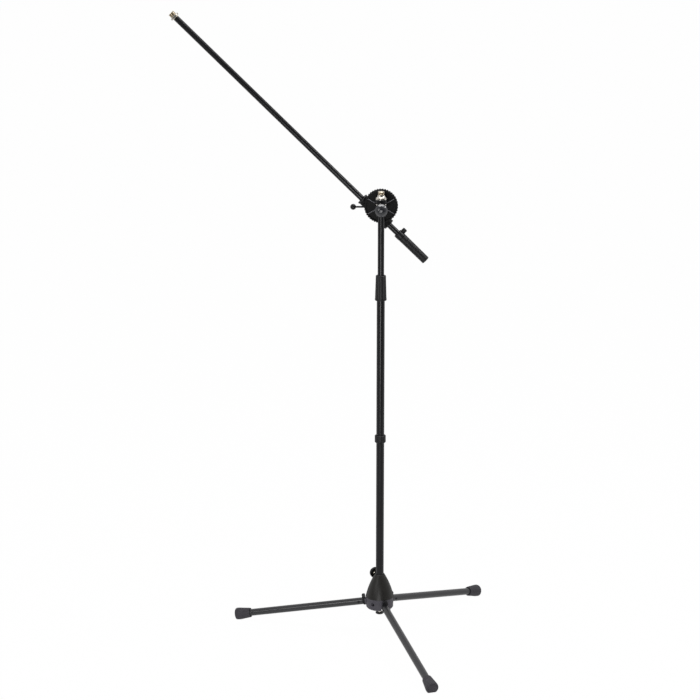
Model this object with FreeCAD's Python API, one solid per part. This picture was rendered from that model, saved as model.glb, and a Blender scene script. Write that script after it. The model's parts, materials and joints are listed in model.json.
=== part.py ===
"""Boom microphone stand: tripod base, two-stage mast, ribbed tilt clutch and a counterweighted boom.

Millimetres, +Z up. The origin is on the floor, on the mast's axis. +X is to the right and +Y to the
back when the stand is seen from the front, where the clutch knob is. The boom lies in a plane behind
the mast and climbs to the left. Every function returns the solid of one physical piece, in place.
"""
import FreeCAD
import Part
import math
import os

V = FreeCAD.Vector
Z_AXIS = V(0, 0, 1)

# Clearances and walls shared by several fits
RUN_FIT = 0.06          # radial, a shaft that turns or slides in its bore
SEAT_FIT = 0.03         # radial, pieces that stay together
SIDE_GAP = 0.25         # beside a part that swings in a slot
FACE_GAP = 0.2          # between flat faces that rub

# Main sizes, which the heights and reaches below follow
HUB_HEIGHT = 76.0       # underside of the hub over the floor
LOWER_LENGTH = 813.0    # lower mast, both tubes together
UPPER_RISE = 206.5      # from the end of the lower mast to the head
LEG_LENGTH = 379.0      # from the pivot to the end of the foot
BOOM_LENGTH = 825.7     # the tube alone

# Lower mast: two tubes, screwed together end to end inside a collar
LOWER_R = 10.0
LOWER_WALL = 1.2
LOWER_FIRST_LENGTH = 449.0
LOWER_BOTTOM_Z = HUB_HEIGHT + 3.0
LOWER_JOINT_Z = LOWER_BOTTOM_Z + LOWER_FIRST_LENGTH
LOWER_TOP_Z = LOWER_BOTTOM_Z + LOWER_LENGTH
COLLAR_R = 14.1
COLLAR_HEIGHT = 19.5
COLLAR_CHAMFER = 2.0
COLLAR_FLUTES = 10
COLLAR_FLUTE_R = 6.0
COLLAR_FLUTE_DEPTH = 0.6

# End of the lower mast: a plug with a thin neck that carries the stop disc under the hub
PLUG_DEPTH = 20.0
NECK_R = 5.0
STOP_DISC_R = 10.4
STOP_DISC_THICK = 3.6
STOP_DISC_DROP = 17.3   # below the tube's end
STOP_DISC_TOP_Z = LOWER_BOTTOM_Z - STOP_DISC_DROP

# Height clutch: a sleeve on the lower mast, a split collet and a fluted grip
CLUTCH_SLEEVE_R = 11.4
COLLET_WALL = 1.3
COLLET_SLIT = 1.5
GRIP_LENGTH = 64.0
GRIP_OVERLAP = 6.0      # over the lower mast
GRIP_ROOF = 4.8
GRIP_HEADROOM = 2.2     # over the sleeve, for the collet's rim
GRIP_BOTTOM_Z = LOWER_TOP_Z - GRIP_OVERLAP
GRIP_TOP_Z = GRIP_BOTTOM_Z + GRIP_LENGTH
CLUTCH_SLEEVE_TOP_Z = GRIP_TOP_Z - GRIP_ROOF - GRIP_HEADROOM
GRIP_BOTTOM_R = 14.6
GRIP_TOP_R = 12.9
GRIP_FLUTES = 10
GRIP_FLUTE_R = 7.0
GRIP_FLUTE_DEPTH = 0.9

# Upper mast
UPPER_R = 8.0
UPPER_WALL = 1.2
UPPER_INSIDE = 292.0    # length inside the lower mast
UPPER_BOTTOM_Z = LOWER_TOP_Z - UPPER_INSIDE
UPPER_IN_HEAD = 11.0

# Hub: a cast base with three leg slots under a moulded cone
HUB_BASE_HEIGHT = 29.5
HUB_CONE_HEIGHT = 60.5
HUB_BOTTOM_Z = HUB_HEIGHT
HUB_PARTING_Z = HUB_BOTTOM_Z + HUB_BASE_HEIGHT
HUB_TOP_Z = HUB_PARTING_Z + HUB_CONE_HEIGHT
HUB_BASE_R = 35.5
HUB_CONE_R = 36.0
HUB_NECK_R = 12.2
HUB_CONE_WALL = 3.0
HUB_CONE_BULGE = 2.8    # how far the cone's side stands out of a straight line
HUB_CHAMFER = 3.0
SLOT_OVERRUN = 10.0     # of the slot cutters, past the cone
HUB_GUIDE_HEIGHT = 16.0  # plain bore at the top of the cone

# Hub clamp knob, behind the mast
HUB_KNOB_AZIMUTH = 110.0
HUB_KNOB_DROP = 8.4     # below the top of the cone
HUB_KNOB_Z = HUB_TOP_Z - HUB_KNOB_DROP
HUB_KNOB_R = 14.4
HUB_KNOB_START = 28.0   # from the mast's axis
HUB_KNOB_DEPTH = 11.0
HUB_KNOB_WALL = 2.2
HUB_BOSS_R = 7.0
HUB_BOSS_END = 23.0     # from the mast's axis
HUB_BOLT_R = 3.0
HUB_BOLT_FLANGE_R = 9.6
HUB_BOLT_FLANGE_THICK = 1.5

# Legs
LEG_AZIMUTHS = (163.6, 47.0, 288.7)
LEG_PIVOT_RADIUS = 22.0
LEG_PIVOT_RISE = 16.1   # over the underside of the hub
LEG_PIVOT_Z = HUB_BOTTOM_Z + LEG_PIVOT_RISE
LEG_R = 9.0
LEG_WALL = 1.0
LEG_PIN_R = 3.0
LEG_PIN_HEAD_R = 4.1
LEG_PIN_HEAD_FACE = 21.5  # from the leg's middle plane
LEG_PIN_HEAD_THICK = 3.2
LEG_PIN_END = 16.0
TANG_R = 7.0
TANG_HALF_WIDTH = 6.5
TANG_LENGTH = 16.5
STOP_PLATE_THICK = 5.0
STOP_PLATE_ABOVE = 19.0
STOP_PLATE_BELOW = 10.5
STOP_PLATE_ROUND = 5.5
KNUCKLE_NECK_R = 5.0
KNUCKLE_PLUG = 40.0
RIVET_AT = 33.0         # from the pivot
RIVET_R = 2.0
RIVET_HEAD_R = 3.3
RIVET_HEAD_THICK = 1.3

# Rubber feet, measured along the leg from the pivot
FOOT_LENGTH = 40.5
FOOT_MOUTH_AT = LEG_LENGTH - FOOT_LENGTH
FOOT_MOUTH_R = 12.4
FOOT_R = 16.0
FOOT_WIDEST = 6.0       # from the outer end
FOOT_PAD_R = 12.2
FOOT_SOCKET = 31.0
FOOT_FLAT_DEPTH = 3.75  # how far the floor cuts into the foot


def leg_slope():
    """Degrees below level of a spread leg, which brings its foot down to the floor."""
    along = LEG_LENGTH - FOOT_WIDEST
    lever = math.hypot(along, FOOT_R)
    return math.degrees(math.asin((LEG_PIVOT_Z + FOOT_FLAT_DEPTH) / lever) - math.atan2(FOOT_R, along))


LEG_SLOPE = leg_slope()

# Mast head with the spare stud on top
HEAD_R = 12.5
HEAD_HEIGHT = 27.5
HEAD_BOTTOM_Z = LOWER_TOP_Z + UPPER_RISE
HEAD_TOP_Z = HEAD_BOTTOM_Z + HEAD_HEIGHT
CLUTCH_AXIS_DROP = 6.4  # below the top of the head
CLUTCH_AXIS_Z = HEAD_TOP_Z - CLUTCH_AXIS_DROP
HEAD_BOSS_R = 14.0
HEAD_FRONT = 20.0       # in front of the mast's axis
STUD_R = 7.94           # five-eighths inch thread
STUD_CORE_R = 7.6
STUD_THREAD = 8.2       # bare thread above the lock ring
STUD_RING_R = 13.8
STUD_RING_THICK = 3.0
HEAD_COLLAR_R = 14.8
HEAD_COLLAR_THICK = 11.0
HEAD_WASHER_R = 14.2
HEAD_WASHER_THICK = 1.4
LOCK_RING_R = 14.0
LOCK_RING_BAND = 2.4
LOCK_RING_HEIGHT = 9.4
LOCK_RING_NECK_R = 9.2

# Ribbed tilt clutch: two toothed discs with a friction pad between them, all on one bolt
DISC_R = 41.8
DISC_TOOTH = 1.5
DISC_TEETH = 40
FRONT_DISC_THICK = 10.0
DISC_RIM_INNER_R = 37.4
DISC_RECESS = 4.0
DISC_BOSS_R = 16.4
DISC_RIBS = 6
DISC_RIB_WIDTH = 1.8
DISC_RIB_DROP = 1.0     # below the rim's face
FRONT_DISC_Y = 14.0
PAD_THICK = 1.5
PAD_INNER_R = 18.0
PAD_OUTER_R = 36.0
BOOM_DISC_THICK = 5.8
BOOM_DISC_RECESS = 2.2
BOLT_R = 4.0
BOLT_HEAD_R = 6.8
BOLT_HEAD_THICK = 5.0
KNOB_R = 15.7
KNOB_BACK_R = 11.6
KNOB_FACE_R = 12.2
KNOB_LENGTH = 30.5
KNOB_BAND_START = 12.0
KNOB_BAND_END = 22.0
KNOB_BEVEL = 4.0
KNOB_FACE_WALL = 7.0
KNOB_WASHER_R = 9.0
KNOB_WASHER_THICK = 1.3

# Boom clamp: a sleeve behind the disc, with flanged bushes and a lever screw
BOOM_ELEVATION = 44.45
BOOM_OFFSET = 22.5      # boom axis from clutch axis, to the lower left
BOOM_Y = 43.0
SLEEVE_R = 13.0
SLEEVE_UP = 40.0        # along the boom from the point nearest the clutch axis
SLEEVE_DOWN = 47.0
SADDLE_HALF_WIDTH = 10.0
SADDLE_MARGIN = 7.0
BUSH_R = 9.5
BUSH_LIP_R = 14.4
BUSH_LIP_THICK = 3.0
BUSH_DEPTH = 24.0
CLAMP_AT = 8.0
CLAMP_BOSS_R = 7.5
CLAMP_BOSS_OUT = 18.5
CLAMP_SCREW_R = 3.0
LEVER_HUB_R = 6.5
LEVER_HUB_THICK = 7.5
LEVER_STEM_R = 2.3
LEVER_ARM = 47.5
BALL_R = 7.4

# Boom
BOOM_R = 7.2
BOOM_WALL = 1.1
BOOM_REAR_AT = -150.0
BOOM_TIP_AT = BOOM_REAR_AT + BOOM_LENGTH
HANDLE_OVER_TUBE = 54.6
HANDLE_UP_AT = BOOM_REAR_AT + HANDLE_OVER_TUBE
REAR_COLLAR_LENGTH = 14.5
REAR_COLLAR_R = 11.4
REAR_COLLAR_UP_AT = HANDLE_UP_AT + REAR_COLLAR_LENGTH + 0.9
THUMB_R = 6.0
THUMB_BASE = 12.0       # from the boom's axis
THUMB_TOP = 20.6
THUMB_SHANK_R = 2.5
THUMB_FLUTES = 8
WEIGHT_R = 9.0
WEIGHT_LENGTH = 78.0
HANDLE_UP_R = 10.9
HANDLE_END_R = 10.4
HANDLE_END_WALL = 4.0
TIP_STUD_LENGTH = 16.6
TIP_PLUG_DEPTH = 25.0
TIP_RING_AT = 1.4       # beyond the tube's end
TIP_RING_THICK = 5.0
TIP_RING_R = 11.4
KNURL_COUNT = 24
KNURL_DEPTH = 0.45


# Shape helpers

def outline(start, *steps):
    """Flat face in the XZ plane. A step is an end point, or a (via, end) pair for an arc."""
    edges = []
    here = V(start[0], 0, start[1])
    for step in steps:
        if isinstance(step[0], tuple):
            via, end = (V(x, 0, z) for x, z in step)
            edges.append(Part.Arc(here, via, end).toShape())
        else:
            end = V(step[0], 0, step[1])
            edges.append(Part.LineSegment(here, end).toShape())
        here = end
    edges.append(Part.LineSegment(here, V(start[0], 0, start[1])).toShape())
    return Part.Face(Part.Wire(edges))


def turned(start, *steps):
    """Solid turned about the Z axis from a half section of (radius, height) steps."""
    return outline(start, *steps).revolve(V(0, 0, 0), Z_AXIS, 360)


def rod(radius, bottom, top):
    return Part.makeCylinder(radius, top - bottom, V(0, 0, bottom))


def pipe(outer, inner, bottom, top):
    return rod(outer, bottom, top).cut(rod(inner, bottom, top))


def slab(low, high):
    """Box between two corners."""
    return Part.makeBox(high[0] - low[0], high[1] - low[1], high[2] - low[2], V(*low))


def around(shape, count, start=0.0):
    """Copies of a shape, evenly spaced about the Z axis."""
    return [spun(shape, start + 360.0 * i / count) for i in range(count)]


def spun(shape, angle):
    copy = shape.copy()
    copy.rotate(V(0, 0, 0), Z_AXIS, angle)
    return copy


def cut_all(shape, tools):
    return shape.cut(Part.Compound(tools))


def placed(shape, placement):
    """The shape carried from its own frame by a placement."""
    copy = shape.copy()
    copy.Placement = placement.multiply(copy.Placement)
    return copy


# Frames of the sub-assemblies

def leg_frame(azimuth):
    """X runs out along the leg from its pivot, Y is the pivot's axis."""
    turn = FreeCAD.Rotation(Z_AXIS, azimuth)
    tilt = FreeCAD.Rotation(V(0, 1, 0), LEG_SLOPE)
    pivot = turn.multVec(V(LEG_PIVOT_RADIUS, 0, LEG_PIVOT_Z))
    return FreeCAD.Placement(pivot, turn.multiply(tilt))


def clutch_frame():
    """Z runs back along the clutch bolt, from the mast's axis."""
    return FreeCAD.Placement(V(0, 0, CLUTCH_AXIS_Z), FreeCAD.Rotation(V(1, 0, 0), -90))


def boom_frame():
    """Z runs up the boom, X is square to it in the clutch's plane, Y points back."""
    turn = FreeCAD.Rotation(V(0, 1, 0), BOOM_ELEVATION - 90)
    foot = V(0, BOOM_Y, CLUTCH_AXIS_Z) - turn.multVec(V(BOOM_OFFSET, 0, 0))
    return FreeCAD.Placement(foot, turn)


def lever_frame():
    """Z runs back along the clamp screw, X points left, along the lever's arm at rest."""
    centre = boom_frame().multVec(V(0, 0, CLAMP_AT))
    turn = FreeCAD.Rotation(V(0, 0, 1), 180).multiply(FreeCAD.Rotation(V(1, 0, 0), 90))
    return FreeCAD.Placement(centre, turn)


def hub_knob_frame():
    """Z runs out along the hub's clamp bolt, from the mast's axis."""
    turn = FreeCAD.Rotation(Z_AXIS, HUB_KNOB_AZIMUTH)
    return FreeCAD.Placement(V(0, 0, HUB_KNOB_Z), turn.multiply(FreeCAD.Rotation(V(0, 1, 0), 90)))


# Hub

def slot_cutter():
    """Room for one leg's tang: level roof over the eye, then a roof that stops the raised leg."""
    inner = LEG_PIVOT_RADIUS - TANG_R - SIDE_GAP
    outer = HUB_CONE_R + SLOT_OVERRUN
    level = LEG_PIVOT_Z + TANG_R + SIDE_GAP
    slope = math.radians(LEG_SLOPE)
    rise = LEG_PIVOT_Z + (TANG_R + SIDE_GAP) / math.cos(slope)
    drop = (outer - LEG_PIVOT_RADIUS) * math.tan(slope)
    below = HUB_BOTTOM_Z - 1
    half = TANG_HALF_WIDTH + SIDE_GAP
    side = outline((inner, below), (outer, below), (outer, rise - drop), (LEG_PIVOT_RADIUS, level),
                   (inner, level))
    side.translate(V(0, -half, 0))
    return side.extrude(V(0, 2 * half, 0))


def pin_cutter():
    """Screw hole and head recess of one leg pin, in the frame of a leg that points along X."""
    back = V(0, 1, 0)
    base = V(LEG_PIVOT_RADIUS, 0, LEG_PIVOT_Z)
    recess = LEG_PIN_HEAD_FACE
    shank = Part.makeCylinder(LEG_PIN_R + SEAT_FIT, recess + LEG_PIN_END, base - back * recess, back)
    depth = HUB_BASE_R
    head = Part.makeCylinder(LEG_PIN_HEAD_R + SIDE_GAP, depth, base - back * (recess + depth), back)
    return shank.fuse(head)


def hub_base():
    """Cast base: bore for the mast, three slots open downwards, screw recesses, core pockets."""
    rim = HUB_BASE_R
    solid = turned((LOWER_R + RUN_FIT, HUB_BOTTOM_Z), (rim - HUB_CHAMFER, HUB_BOTTOM_Z),
                   (rim - 0.7, HUB_BOTTOM_Z + HUB_CHAMFER), (rim, HUB_PARTING_Z),
                   (LOWER_R + RUN_FIT, HUB_PARTING_Z))
    tools = []
    for azimuth in LEG_AZIMUTHS:
        tools.append(spun(slot_cutter(), azimuth))
        tools.append(spun(pin_cutter(), azimuth))
    pocket = rod(5.5, HUB_BOTTOM_Z - 1, HUB_PARTING_Z - 5)
    pocket.translate(V(LEG_PIVOT_RADIUS, 0, 0))
    for here, after in zip(LEG_AZIMUTHS, LEG_AZIMUTHS[1:] + LEG_AZIMUTHS[:1]):
        tools.append(spun(pocket, here - ((here - after) % 360) / 2))
    return cut_all(solid, tools)


def cone_arc(shrink, low, high):
    """Half section of the cone's side between two heights, moved in by shrink: start, via, end."""
    span = HUB_TOP_Z - HUB_PARTING_Z

    def radius(z):
        part = (z - HUB_PARTING_Z) / span
        straight = HUB_CONE_R + (HUB_NECK_R - HUB_CONE_R) * part
        return straight + 4 * HUB_CONE_BULGE * part * (1 - part) - shrink
    middle = (low + high) / 2
    return (radius(low), low), (radius(middle), middle), (radius(high), high)


def hub_cone():
    """Moulded cone: thin wall, plain guide bore at the neck, boss and hole for the clamp bolt."""
    bore = LOWER_R + RUN_FIT
    start, via, end = cone_arc(0, HUB_PARTING_Z, HUB_TOP_Z - 1)
    shell = turned((0, HUB_PARTING_Z), start, (via, end), (HUB_NECK_R - 1, HUB_TOP_Z), (0, HUB_TOP_Z))
    frame = hub_knob_frame()
    boss = placed(rod(HUB_BOSS_R, LOWER_R, HUB_BOSS_END), frame)
    low, mid, high = cone_arc(HUB_CONE_WALL, HUB_PARTING_Z, HUB_TOP_Z - HUB_GUIDE_HEIGHT)
    hollow = turned((0, HUB_PARTING_Z), low, (mid, high), (0, high[1]))
    bolt_hole = placed(rod(HUB_BOLT_R + RUN_FIT, 0, HUB_BOSS_END + 1), frame)
    tools = [hollow, rod(bore, HUB_PARTING_Z, HUB_TOP_Z + 1), bolt_hole]
    return cut_all(shell.fuse(boss), tools)


def hub_knob():
    """Cupped knob whose hollow faces the mast."""
    start = HUB_KNOB_START
    end = start + HUB_KNOB_DEPTH
    inner = HUB_KNOB_R - HUB_KNOB_WALL
    hub_r = HUB_BOLT_R + HUB_KNOB_WALL
    floor = end - 2 * HUB_KNOB_WALL
    solid = turned((HUB_BOLT_R + SEAT_FIT, start + 1), (hub_r, start + 1), (hub_r, floor), (inner, floor),
                   (inner, start), (HUB_KNOB_R, start), (HUB_KNOB_R, end - 4),
                   ((HUB_KNOB_R - 1.2, end - 1.2), (HUB_KNOB_R - 4, end)),
                   (HUB_BOLT_R + SEAT_FIT, end))
    notch = rod(1.6, start - 1, end + 1)
    notch.translate(V(HUB_KNOB_R + 0.9, 0, 0))
    return placed(cut_all(solid, around(notch, 16)), hub_knob_frame())


def hub_knob_bolt():
    """Clamp bolt whose bright flange closes the mouth of the knob's cup."""
    tip = LOWER_R + 2 * FACE_GAP
    end = HUB_KNOB_START + HUB_KNOB_DEPTH
    shank = rod(HUB_BOLT_R, tip, end)
    face = HUB_KNOB_START + 1
    flange = rod(HUB_BOLT_FLANGE_R, face - HUB_BOLT_FLANGE_THICK, face)
    nut = rod(HUB_BOLT_R + 2, face - 2 * HUB_BOLT_FLANGE_THICK, face)
    return placed(shank.fuse([nut, flange]), hub_knob_frame())


# Legs

def leg_knuckle(azimuth):
    """Tang with a round eye, then a neck through the stop plate and a plug inside the tube."""
    side = TANG_HALF_WIDTH
    eye = Part.makeCylinder(TANG_R, 2 * side, V(0, -side, 0), V(0, 1, 0))
    bar = slab((0, -side, -TANG_R), (TANG_LENGTH, side, TANG_R))
    along = V(1, 0, 0)
    neck = Part.makeCylinder(KNUCKLE_NECK_R, STOP_PLATE_THICK, V(TANG_LENGTH, 0, 0), along)
    start = TANG_LENGTH + STOP_PLATE_THICK
    plug = Part.makeCylinder(LEG_R - LEG_WALL - SEAT_FIT, KNUCKLE_PLUG, V(start, 0, 0), along)
    pin_hole = Part.makeCylinder(LEG_PIN_R + RUN_FIT, 2 * side + 2, V(0, -side - 1, 0), V(0, 1, 0))
    body = eye.fuse([bar, neck, plug]).removeSplitter()
    return placed(cut_all(body, [pin_hole, rivet_hole()]), leg_frame(azimuth))


def rivet_hole():
    reach = LEG_R + 1
    return Part.makeCylinder(RIVET_R + SEAT_FIT, 2 * reach, V(RIVET_AT, -reach, 0), V(0, 1, 0))


def leg_stop_plate(azimuth):
    """Plate square to the leg, rounded at the corners, that meets the hub's skirt."""
    side = TANG_HALF_WIDTH
    plate = slab((TANG_LENGTH, -side, -STOP_PLATE_BELOW),
                 (TANG_LENGTH + STOP_PLATE_THICK, side, STOP_PLATE_ABOVE))
    corners = [e for e in plate.Edges if abs(e.tangentAt(e.FirstParameter).x) > 0.9]
    plate = plate.makeFillet(STOP_PLATE_ROUND, corners)
    hole = Part.makeCylinder(KNUCKLE_NECK_R + SEAT_FIT, STOP_PLATE_THICK, V(TANG_LENGTH, 0, 0),
                             V(1, 0, 0))
    return placed(plate.cut(hole), leg_frame(azimuth))


def leg_tube(azimuth):
    start = TANG_LENGTH + STOP_PLATE_THICK
    end = FOOT_MOUTH_AT + FOOT_SOCKET
    along = V(1, 0, 0)
    outer = Part.makeCylinder(LEG_R, end - start, V(start, 0, 0), along)
    inner = Part.makeCylinder(LEG_R - LEG_WALL, end - start, V(start, 0, 0), along)
    return placed(cut_all(outer, [inner, rivet_hole()]), leg_frame(azimuth))


def leg_rivet(azimuth):
    head = RIVET_HEAD_R
    face = LEG_R
    top = face + RIVET_HEAD_THICK
    dome = ((head * 0.8, face + RIVET_HEAD_THICK * 0.75), (head / 4, top))
    half = turned((0, 0), (RIVET_R, 0), (RIVET_R, face), (head, face), dome, (0, top))
    half = placed(half, FreeCAD.Placement(V(RIVET_AT, 0, 0), FreeCAD.Rotation(V(1, 0, 0), -90)))
    return placed(half.fuse(half.mirror(V(0, 0, 0), V(0, 1, 0))), leg_frame(azimuth))


def leg_foot(azimuth):
    """Rubber boot: a cone that widens outwards to a flat pad, cut level where it meets the floor."""
    mouth = FOOT_MOUTH_AT
    end = mouth + FOOT_LENGTH
    socket = LEG_R + SEAT_FIT
    bottom = mouth + FOOT_SOCKET + FACE_GAP
    wide = end - FOOT_WIDEST
    corner = ((FOOT_R + FOOT_PAD_R) / 2 + 0.8, end - FOOT_WIDEST * 0.22)
    body = turned((socket, mouth), (FOOT_MOUTH_R - 1.0, mouth), (FOOT_MOUTH_R, mouth + 1.2),
                  (FOOT_R, wide), (corner, (FOOT_PAD_R, end)),
                  (0, end), (0, bottom), (socket, bottom))
    body = placed(body, FreeCAD.Placement(V(0, 0, 0), FreeCAD.Rotation(V(0, 1, 0), 90)))
    body = placed(body, leg_frame(azimuth))
    reach = 2 * end
    return body.cut(slab((-reach, -reach, -reach), (reach, reach, 0)))


def leg_pin(azimuth):
    """Slotted screw that the tang turns on; its head lies in the recess of the hub base."""
    face = -LEG_PIN_HEAD_FACE
    back = V(0, 1, 0)
    shank = Part.makeCylinder(LEG_PIN_R, LEG_PIN_END - face - FACE_GAP, V(0, face, 0), back)
    head = Part.makeCylinder(LEG_PIN_HEAD_R, LEG_PIN_HEAD_THICK, V(0, face, 0), -back)
    top = face - LEG_PIN_HEAD_THICK
    slot = slab((-0.6, top - 1, -LEG_PIN_HEAD_R - 1), (0.6, top + 1.2, LEG_PIN_HEAD_R + 1))
    return placed(shank.fuse(head).cut(slot), leg_frame(azimuth))


# Mast

def lower_tube(bottom, top):
    return pipe(LOWER_R, LOWER_R - LOWER_WALL, bottom, top)


def joint_collar():
    low = LOWER_JOINT_Z - COLLAR_HEIGHT / 2
    high = low + COLLAR_HEIGHT
    bore = LOWER_R + SEAT_FIT
    ring = turned((bore, low), (COLLAR_R - COLLAR_CHAMFER, low), (COLLAR_R, low + COLLAR_CHAMFER),
                  (COLLAR_R, high - COLLAR_CHAMFER), (COLLAR_R - COLLAR_CHAMFER, high), (bore, high))
    flute = rod(COLLAR_FLUTE_R, low - 1, high + 1)
    flute.translate(V(COLLAR_R + COLLAR_FLUTE_R - COLLAR_FLUTE_DEPTH, 0, 0))
    return cut_all(ring, around(flute, COLLAR_FLUTES))


def mast_end_plug():
    """Plug in the bottom of the mast, with the neck that the stop disc is pressed on."""
    bore = LOWER_R - LOWER_WALL - SEAT_FIT
    low = LOWER_BOTTOM_Z
    end = STOP_DISC_TOP_Z - STOP_DISC_THICK / 2
    return turned((0, end), (NECK_R, end), (NECK_R, low), (bore, low), (bore, low + PLUG_DEPTH),
                  (0, low + PLUG_DEPTH))


def stop_disc():
    bottom = STOP_DISC_TOP_Z - STOP_DISC_THICK
    seat = STOP_DISC_TOP_Z - STOP_DISC_THICK / 2
    bore = NECK_R + SEAT_FIT
    return turned((0, bottom), (STOP_DISC_R - 1, bottom), (STOP_DISC_R, bottom + 1),
                  (STOP_DISC_R, STOP_DISC_TOP_Z - 0.5), (STOP_DISC_R - 0.5, STOP_DISC_TOP_Z),
                  (bore, STOP_DISC_TOP_Z), (bore, seat), (0, seat))


def clutch_sleeve():
    """Sleeve on the lower mast, with a shoulder on the tube's end and a bore for the collet."""
    low = GRIP_BOTTOM_Z + 1
    tube = LOWER_R + SEAT_FIT
    seat = UPPER_R + RUN_FIT + COLLET_WALL + RUN_FIT
    return turned((tube, low), (CLUTCH_SLEEVE_R, low), (CLUTCH_SLEEVE_R, CLUTCH_SLEEVE_TOP_Z),
                  (seat, CLUTCH_SLEEVE_TOP_Z), (seat, LOWER_TOP_Z), (tube, LOWER_TOP_Z))


def clutch_collet():
    """Split ring that grips the upper tube, with a rim on top of the sleeve."""
    inner = UPPER_R + RUN_FIT
    outer = inner + COLLET_WALL
    low = LOWER_TOP_Z + FACE_GAP
    rim_low = CLUTCH_SLEEVE_TOP_Z + FACE_GAP
    rim_high = rim_low + 1.3
    ring = turned((inner, low), (outer, low), (outer, rim_low), (outer + 0.9, rim_low),
                  (outer + 0.3, rim_high), (inner, rim_high))
    slit = slab((0, -COLLET_SLIT / 2, low - 1), (outer + 2, COLLET_SLIT / 2, rim_high + 1))
    return ring.cut(slit)


def clutch_grip():
    """Fluted grip that screws down over the sleeve; wider at its lower end."""
    top_bore = UPPER_R + 0.35
    sleeve_bore = CLUTCH_SLEEVE_R + RUN_FIT + 0.1
    ceiling = GRIP_TOP_Z - GRIP_ROOF
    grip = turned((sleeve_bore, GRIP_BOTTOM_Z), (GRIP_BOTTOM_R - 2, GRIP_BOTTOM_Z),
                  ((GRIP_BOTTOM_R - 0.4, GRIP_BOTTOM_Z + 0.8), (GRIP_BOTTOM_R, GRIP_BOTTOM_Z + 3)),
                  (GRIP_TOP_R, GRIP_TOP_Z - 4),
                  ((GRIP_TOP_R - 0.9, GRIP_TOP_Z - 1.1), (GRIP_TOP_R - 3, GRIP_TOP_Z)),
                  (top_bore, GRIP_TOP_Z), (top_bore, ceiling), (sleeve_bore, ceiling))
    lean = math.degrees(math.atan2(GRIP_BOTTOM_R - GRIP_TOP_R, GRIP_TOP_Z - GRIP_BOTTOM_Z))
    flute = rod(GRIP_FLUTE_R, 5, GRIP_TOP_Z - GRIP_BOTTOM_Z + 2)
    flute.rotate(V(0, 0, 0), V(0, 1, 0), -lean)
    flute.translate(V(GRIP_BOTTOM_R + GRIP_FLUTE_R - GRIP_FLUTE_DEPTH, 0, GRIP_BOTTOM_Z))
    return cut_all(grip, around(flute, GRIP_FLUTES))


def upper_tube():
    top = HEAD_BOTTOM_Z + UPPER_IN_HEAD
    return pipe(UPPER_R, UPPER_R - UPPER_WALL, UPPER_BOTTOM_Z, top)


# Mast head

def mast_head():
    """Cast head: socket for the tube, flat-topped cross boss for the clutch bolt."""
    post = rod(HEAD_R, HEAD_BOTTOM_Z, HEAD_TOP_Z)
    boss = placed(rod(HEAD_BOSS_R, -HEAD_FRONT, FRONT_DISC_Y), clutch_frame())
    reach = 3 * HEAD_R
    above = slab((-reach, -reach, HEAD_TOP_Z), (reach, reach, HEAD_TOP_Z + reach))
    bolt_hole = placed(rod(BOLT_R + RUN_FIT, -HEAD_FRONT - 1, FRONT_DISC_Y + 1), clutch_frame())
    socket = rod(UPPER_R + SEAT_FIT, HEAD_BOTTOM_Z - 1, HEAD_BOTTOM_Z + UPPER_IN_HEAD + FACE_GAP)
    return cut_all(post.fuse(boss), [above, bolt_hole, socket])


def head_stack():
    """Heights of the faces of the rings stacked on the head, from the bottom up."""
    ring = HEAD_TOP_Z + STUD_RING_THICK
    collar = ring + HEAD_COLLAR_THICK
    washer = collar + HEAD_WASHER_THICK
    return ring, collar, washer, washer + FACE_GAP


def top_stud():
    """Bright ring on the head and the spare threaded stud that stands on it."""
    ring = head_stack()[0]
    lock_top = head_stack()[3] + LOCK_RING_HEIGHT + FACE_GAP
    top = lock_top + STUD_THREAD
    return turned((0, HEAD_TOP_Z), (STUD_RING_R, HEAD_TOP_Z), (STUD_RING_R, ring), (STUD_CORE_R, ring),
                  (STUD_CORE_R, lock_top), (STUD_R, lock_top + 0.3), (STUD_R, top - 0.7),
                  (STUD_R - 0.7, top), (0, top))


def head_collar():
    """Black collar under the washer, with a flat that clears the face of the front disc."""
    ring, collar = head_stack()[:2]
    bore = STUD_CORE_R + SEAT_FIT
    body = turned((bore, ring), (HEAD_COLLAR_R - 0.8, ring), (HEAD_COLLAR_R, ring + 0.8),
                  (HEAD_COLLAR_R, collar - 0.8), (HEAD_COLLAR_R - 0.8, collar), (bore, collar))
    flat = FRONT_DISC_Y - SIDE_GAP
    return body.cut(slab((-2 * HEAD_COLLAR_R, flat, ring - 1), (2 * HEAD_COLLAR_R, 2 * HEAD_COLLAR_R, collar + 1)))


def head_washer():
    collar, washer = head_stack()[1:3]
    return pipe(HEAD_WASHER_R, STUD_CORE_R + SEAT_FIT, collar, washer)


def top_lock_ring():
    """Flared lock ring with a knurled band at its foot."""
    low = head_stack()[3]
    high = low + LOCK_RING_HEIGHT
    bore = STUD_CORE_R + RUN_FIT
    ring = turned((bore, low), (LOCK_RING_R, low), (LOCK_RING_R, low + LOCK_RING_BAND),
                  ((LOCK_RING_NECK_R + 1.6, low + 4.8), (LOCK_RING_NECK_R, high)), (bore, high))
    return cut_all(ring, knurl(LOCK_RING_R, low - 1, low + LOCK_RING_BAND + 1))


def knurl(radius, bottom, top):
    """Square-cut grooves around a band."""
    size = KNURL_DEPTH * 2
    groove = slab((radius - KNURL_DEPTH, -size / 2, bottom), (radius + 1, size / 2, top))
    return around(groove, KNURL_COUNT)


# Tilt clutch

def toothed_blank(bottom, top):
    """Disc whose rim carries trapezoid teeth."""
    root = DISC_R - DISC_TOOTH
    pitch = 2 * math.pi / DISC_TEETH
    points = []
    for i in range(DISC_TEETH):
        for part, radius in ((0.0, root), (0.22, root), (0.5, DISC_R), (0.72, DISC_R)):
            angle = (i + part) * pitch
            points.append(V(radius * math.cos(angle), radius * math.sin(angle), bottom))
    face = Part.Face(Part.makePolygon(points + points[:1]))
    return face.extrude(V(0, 0, top - bottom))


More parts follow.
